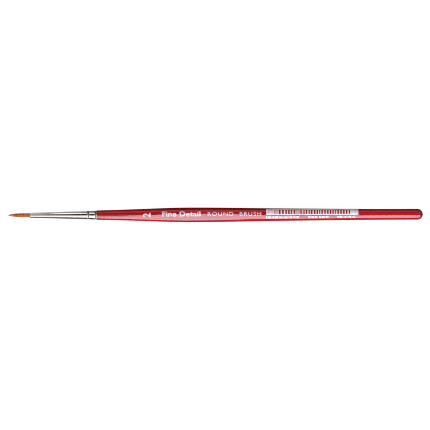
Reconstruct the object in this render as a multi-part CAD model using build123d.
from build123d import *
import os
from math import asin, cos, radians, sin, sqrt

# Fine detail brush: a small pointed round brush for model making.
#
# A turned wooden handle, dipped in transparent lacquer, ends in a bare tapered tenon. A drawn, plated
# brass ferrule is cemented over the tenon and locked to it by two rolled crimps. The filaments are
# bound with thread, pulled forward until the binding wedges in the ferrule's cone, and fixed from
# behind with a plug of resin. Their free length flexes at the ferrule's mouth.
#
# The brush lies along X, with its point towards -X, and rests on the plane Z = 0. X = 0 is half way
# along it. Every piece is turned about the brush's own axis, so each one is drawn as an outline whose
# Y is a radius. All sizes are in millimetres.

# Lengths along the brush
TUFT_LENGTH = 10.0  # free filaments, from the ferrule's mouth to the point
FERRULE_LENGTH = 29.7
HANDLE_LENGTH = 144.3  # from the shoulder that the ferrule meets to the butt

# Handle
BELLY_DIAMETER = 6.5
BELLY_FROM_SHOULDER = 41.5
SHOULDER_DIAMETER = 4.2
TAIL_DIAMETER = 4.8
TAIL_LENGTH = 14.2  # straight part that ends where the round butt begins
LACQUER_THICKNESS = 0.1
LACQUER_AT_TAIL = 0.2  # thicker, because a dipped handle hangs by its tenon and drains to its tail
TENON_LENGTH = 12.7
TENON_CHAMFER = 0.4

# The handle's curves pass through these stations: how far along the stretch, and how far from its
# thin end to the belly's radius.
FRONT_STATIONS = [(0.5, 0.53)]  # counted from the shoulder
BACK_STATIONS = [(0.41, 0.52), (0.69, 0.25)]  # counted from the belly
SHOULDER_FLARE = 1.2  # degrees between the axis and the handle's side at the shoulder

# Ferrule
MOUTH_DIAMETER = 2.22
FERRULE_REAR_DIAMETER = 3.96
FERRULE_WALL = 0.2
CRIMP_WIDTH = 0.5
CRIMP_DEPTH = 0.1
CRIMP_SPACING = 3.2
CRIMP_FROM_END = 0.62
CEMENT_THICKNESS = 0.06

# Filaments, binding and resin
TUFT_DIAMETER = 1.86  # where the free filaments swell just outside the mouth
POINT_DIAMETER = 0.06
SWING = 45  # degrees that the free filaments bend to each side
SWING_MARGIN = 5  # degrees that the socket stays behind the swing
SOCKET_CLEARANCE = 0.03
BORE_CLEARANCE = 0.01  # between the glued filaments and the ferrule's bore
THREAD_DIAMETER = 0.14
THREAD_TURNS = 6
THREAD_GAP = 0.01  # between neighbouring turns, and between the thread and what it touches
ROOT_BEHIND_BINDING = 2.2
RESIN_BEHIND_BINDING = 0.6
RESIN_LENGTH = 5.0
RESIN_MENISCUS = 0.25

# Places that follow from the sizes above
OVERALL_LENGTH = TUFT_LENGTH + FERRULE_LENGTH + HANDLE_LENGTH
POINT_X = -OVERALL_LENGTH / 2
MOUTH_X = POINT_X + TUFT_LENGTH
SHOULDER_X = MOUTH_X + FERRULE_LENGTH
BELLY_X = SHOULDER_X + BELLY_FROM_SHOULDER
BUTT_X = SHOULDER_X + HANDLE_LENGTH
TAIL_X = BUTT_X - TAIL_DIAMETER / 2 - TAIL_LENGTH
AXIS_HEIGHT = BELLY_DIAMETER / 2

# The ferrule's cone: its radius grows by SLOPE for each millimetre towards the handle, and LEAN is
# the length of its side for each millimetre along the axis.
SLOPE = (FERRULE_REAR_DIAMETER - MOUTH_DIAMETER) / 2 / FERRULE_LENGTH
LEAN = sqrt(1 + SLOPE**2)
CRIMP_STATIONS = [SHOULDER_X - CRIMP_FROM_END - CRIMP_SPACING, SHOULDER_X - CRIMP_FROM_END]

# The ball that the free filaments turn on, and the socket that holds it
BALL_RADIUS = TUFT_DIAMETER / 2
SOCKET_RADIUS = BALL_RADIUS + SOCKET_CLEARANCE
FLEX_X = MOUTH_X - SOCKET_RADIUS * sin(radians(SWING + SWING_MARGIN))
SOCKET_MOUTH_RADIUS = SOCKET_RADIUS * cos(radians(SWING + SWING_MARGIN))

# The glued filaments run parallel while the cone widens, so the binding sits where the room between
# them has grown to the thread's own thickness.
ROOT_RADIUS = MOUTH_DIAMETER / 2 - FERRULE_WALL * LEAN - BORE_CLEARANCE
BINDING_X = MOUTH_X + (THREAD_DIAMETER + 2 * THREAD_GAP - BORE_CLEARANCE) / SLOPE
BINDING_LENGTH = THREAD_TURNS * (THREAD_DIAMETER + THREAD_GAP)
BINDING_END_X = BINDING_X + THREAD_DIAMETER + BINDING_LENGTH
ROOT_END_X = BINDING_END_X + ROOT_BEHIND_BINDING
RESIN_X = BINDING_END_X + RESIN_BEHIND_BINDING
RESIN_END_X = RESIN_X + RESIN_LENGTH


def cone_radius(x, depth=0.0):
    """Radius of the ferrule's cone at station x, `depth` under its outer face."""
    return MOUTH_DIAMETER / 2 + SLOPE * (x - MOUTH_X) - depth * LEAN


def cone_edges(depth, x_front, x_back):
    """The cone's side from x_front to x_back, `depth` under its outer face, with the crimps in it.

    A crimp is an arc whose centre stands outside the wall, so deeper faces follow wider arcs.
    """
    forward = Vector(1, SLOPE) / LEAN
    inward = Vector(SLOPE, -1) / LEAN
    groove_radius = (CRIMP_WIDTH**2 / 4 + CRIMP_DEPTH**2) / (2 * CRIMP_DEPTH)
    stand_off = groove_radius - CRIMP_DEPTH
    half_width = sqrt((groove_radius + depth) ** 2 - (stand_off + depth) ** 2)
    edges = []
    here = Vector(x_front, cone_radius(x_front, depth))
    for x in CRIMP_STATIONS:
        foot = Vector(x, cone_radius(x)) + inward * depth
        start = foot - forward * half_width
        if start.X <= x_front:
            continue
        end = foot + forward * half_width
        edges.append(Line(here, start))
        edges.append(ThreePointArc(start, foot + inward * CRIMP_DEPTH, end))
        here = end
    edges.append(Line(here, (x_back, cone_radius(x_back, depth))))
    return edges


def handle_edges(inset, tail_inset):
    """The handle's side from the shoulder to the axis at the butt.

    It lies `inset` under the handle's outer face, and `tail_inset` under it along the tail.
    """

    def stations(rows, x_from, x_to, thin):
        return [(x_from + along * (x_to - x_from), thin + share * (belly - thin)) for along, share in rows]

    start_x = SHOULDER_X + LACQUER_THICKNESS - inset
    shoulder = SHOULDER_DIAMETER / 2 - inset
    belly = BELLY_DIAMETER / 2 - inset
    tail = TAIL_DIAMETER / 2 - tail_inset
    flare = (cos(radians(SHOULDER_FLARE)), sin(radians(SHOULDER_FLARE)))
    front = stations(FRONT_STATIONS, start_x, BELLY_X, shoulder)
    back = stations(BACK_STATIONS, BELLY_X, TAIL_X, tail)
    round_x = BUTT_X - TAIL_DIAMETER / 2
    return [
        Spline((start_x, shoulder), *front, (BELLY_X, belly), tangents=[flare, (1, 0)]),
        Spline((BELLY_X, belly), *back, (TAIL_X, tail), tangents=[(1, 0), (1, 0)]),
        Line((TAIL_X, tail), (round_x, tail)),
        CenterArc((round_x, 0), tail, 90, -90),
    ]


def chain(*points):
    """Straight edges from each point to the next."""
    return [Line(a, b) for a, b in zip(points, points[1:])]


def dished(x, radius, depth):
    """An arc from (x, radius) to the axis, dished by `depth` towards the brush's point."""
    bowl = (radius**2 + depth**2) / (2 * depth)
    half_angle = asin(radius / bowl) / 2
    half_way = (x - depth + bowl * (1 - cos(half_angle)), bowl * sin(half_angle))
    return ThreePointArc((x, radius), half_way, (x - depth, 0))


def turned(edges):
    """The solid that an outline sweeps about the brush's axis, at the axis's height."""
    return Pos(0, 0, AXIS_HEIGHT) * revolve(make_face(edges), Axis.X)


def handle_core():
    """Turned wood: the tapered tenon that the ferrule grips, and the handle under its lacquer."""
    depth = FERRULE_WALL + CEMENT_THICKNESS
    tenon_x = SHOULDER_X - TENON_LENGTH
    tip = (tenon_x, cone_radius(tenon_x, depth) - TENON_CHAMFER)
    neck_x = tenon_x + TENON_CHAMFER
    neck = (neck_x, cone_radius(neck_x, depth))
    foot = (SHOULDER_X, cone_radius(SHOULDER_X, depth))
    shoulder = (SHOULDER_X, SHOULDER_DIAMETER / 2 - LACQUER_THICKNESS)
    butt = (BUTT_X - LACQUER_AT_TAIL, 0)
    return turned(
        chain((tenon_x, 0), tip, neck)
        + cone_edges(depth, neck_x, SHOULDER_X)
        + chain(foot, shoulder)
        + handle_edges(LACQUER_THICKNESS, LACQUER_AT_TAIL)
        + chain(butt, (tenon_x, 0))
    )


def handle_lacquer():
    """The hardened coat over the wood. It rounds over at the shoulder, where the ferrule begins."""
    lip_centre = (SHOULDER_X + LACQUER_THICKNESS, SHOULDER_DIAMETER / 2 - LACQUER_THICKNESS)
    return turned(
        [CenterArc(lip_centre, LACQUER_THICKNESS, 90, 90)]
        + handle_edges(0, 0)
        + chain((BUTT_X, 0), (BUTT_X - LACQUER_AT_TAIL, 0))
        + handle_edges(LACQUER_THICKNESS, LACQUER_AT_TAIL)
    )


def ferrule():
    """Drawn tube: a straight cone with a rolled lip at its mouth and two crimps at its rear."""
    lip = FERRULE_WALL * LEAN / 2
    lip_x = MOUTH_X + lip
    outer = (lip_x, cone_radius(lip_x))
    inner = (lip_x, cone_radius(lip_x, FERRULE_WALL))
    nose = (MOUTH_X, (outer[1] + inner[1]) / 2)
    return turned(
        [ThreePointArc(inner, nose, outer)]
        + cone_edges(0, lip_x, SHOULDER_X)
        + chain((SHOULDER_X, cone_radius(SHOULDER_X)), (SHOULDER_X, cone_radius(SHOULDER_X, FERRULE_WALL)))
        + cone_edges(FERRULE_WALL, lip_x, SHOULDER_X)
    )


def ferrule_cement():
    """The film of cement between the tenon and the ferrule."""
    front_x = SHOULDER_X - TENON_LENGTH + TENON_CHAMFER
    outside = FERRULE_WALL
    inside = FERRULE_WALL + CEMENT_THICKNESS
    return turned(
        cone_edges(outside, front_x, SHOULDER_X)
        + chain((SHOULDER_X, cone_radius(SHOULDER_X, outside)), (SHOULDER_X, cone_radius(SHOULDER_X, inside)))
        + cone_edges(inside, front_x, SHOULDER_X)
        + chain((front_x, cone_radius(front_x, inside)), (front_x, cone_radius(front_x, outside)))
    )


def tuft_root():
    """The bound and glued length of the filaments, with the socket that the free length turns in."""
    rim = (MOUTH_X, SOCKET_MOUTH_RADIUS)
    deepest = (FLEX_X + SOCKET_RADIUS, 0)
    return turned(
        chain(rim, (MOUTH_X, ROOT_RADIUS), (ROOT_END_X, ROOT_RADIUS), (ROOT_END_X, 0), deepest)
        + [CenterArc((FLEX_X, 0), SOCKET_RADIUS, 0, 90 - SWING - SWING_MARGIN)]
    )


def tuft_free():
    """The free filaments as one closed bundle: a round base and an ogive that ends in the point.

    The ogive's radius is the full one less the cube of the share of its length that is still to go,
    which is a cubic Bezier curve.
    """
    length = FLEX_X - POINT_X
    point = (POINT_X, POINT_DIAMETER / 2)
    bulge = [(POINT_X + share * length, BALL_RADIUS) for share in (1 / 3, 2 / 3, 1)]
    return turned(
        chain((POINT_X, 0), point)
        + [Bezier(point, *bulge), CenterArc((FLEX_X, 0), BALL_RADIUS, 90, -90)]
        + chain((FLEX_X + BALL_RADIUS, 0), (POINT_X, 0))
    )


def root_binding():
    """The thread, wound side by side round the glued filaments."""
    coil_radius = ROOT_RADIUS + THREAD_GAP + THREAD_DIAMETER / 2
    start = (BINDING_X + THREAD_DIAMETER / 2, 0, AXIS_HEIGHT)
    path = Helix(THREAD_DIAMETER + THREAD_GAP, BINDING_LENGTH, coil_radius, start, (1, 0, 0))
    section = Plane(path @ 0, z_dir=path % 0) * Circle(THREAD_DIAMETER / 2)
    return sweep(section, path, is_frenet=True)


def root_resin():
    """The plug of resin that was run in from behind, over the end of the filaments."""
    front = (RESIN_X, cone_radius(RESIN_X, FERRULE_WALL))
    rear = (RESIN_END_X, cone_radius(RESIN_END_X, FERRULE_WALL))
    return turned(
        chain((ROOT_END_X, 0), (ROOT_END_X, ROOT_RADIUS), (RESIN_X, ROOT_RADIUS), front, rear)
        + [dished(*rear, RESIN_MENISCUS)]
        + chain((RESIN_END_X - RESIN_MENISCUS, 0), (ROOT_END_X, 0))
    )


PIECES = [
    handle_core,
    handle_lacquer,
    ferrule,
    ferrule_cement,
    tuft_root,
    tuft_free,
    root_binding,
    root_resin,
]

os.makedirs("parts", exist_ok=True)
for piece in PIECES:
    export_step(piece(), f"parts/{piece.__name__}.step")
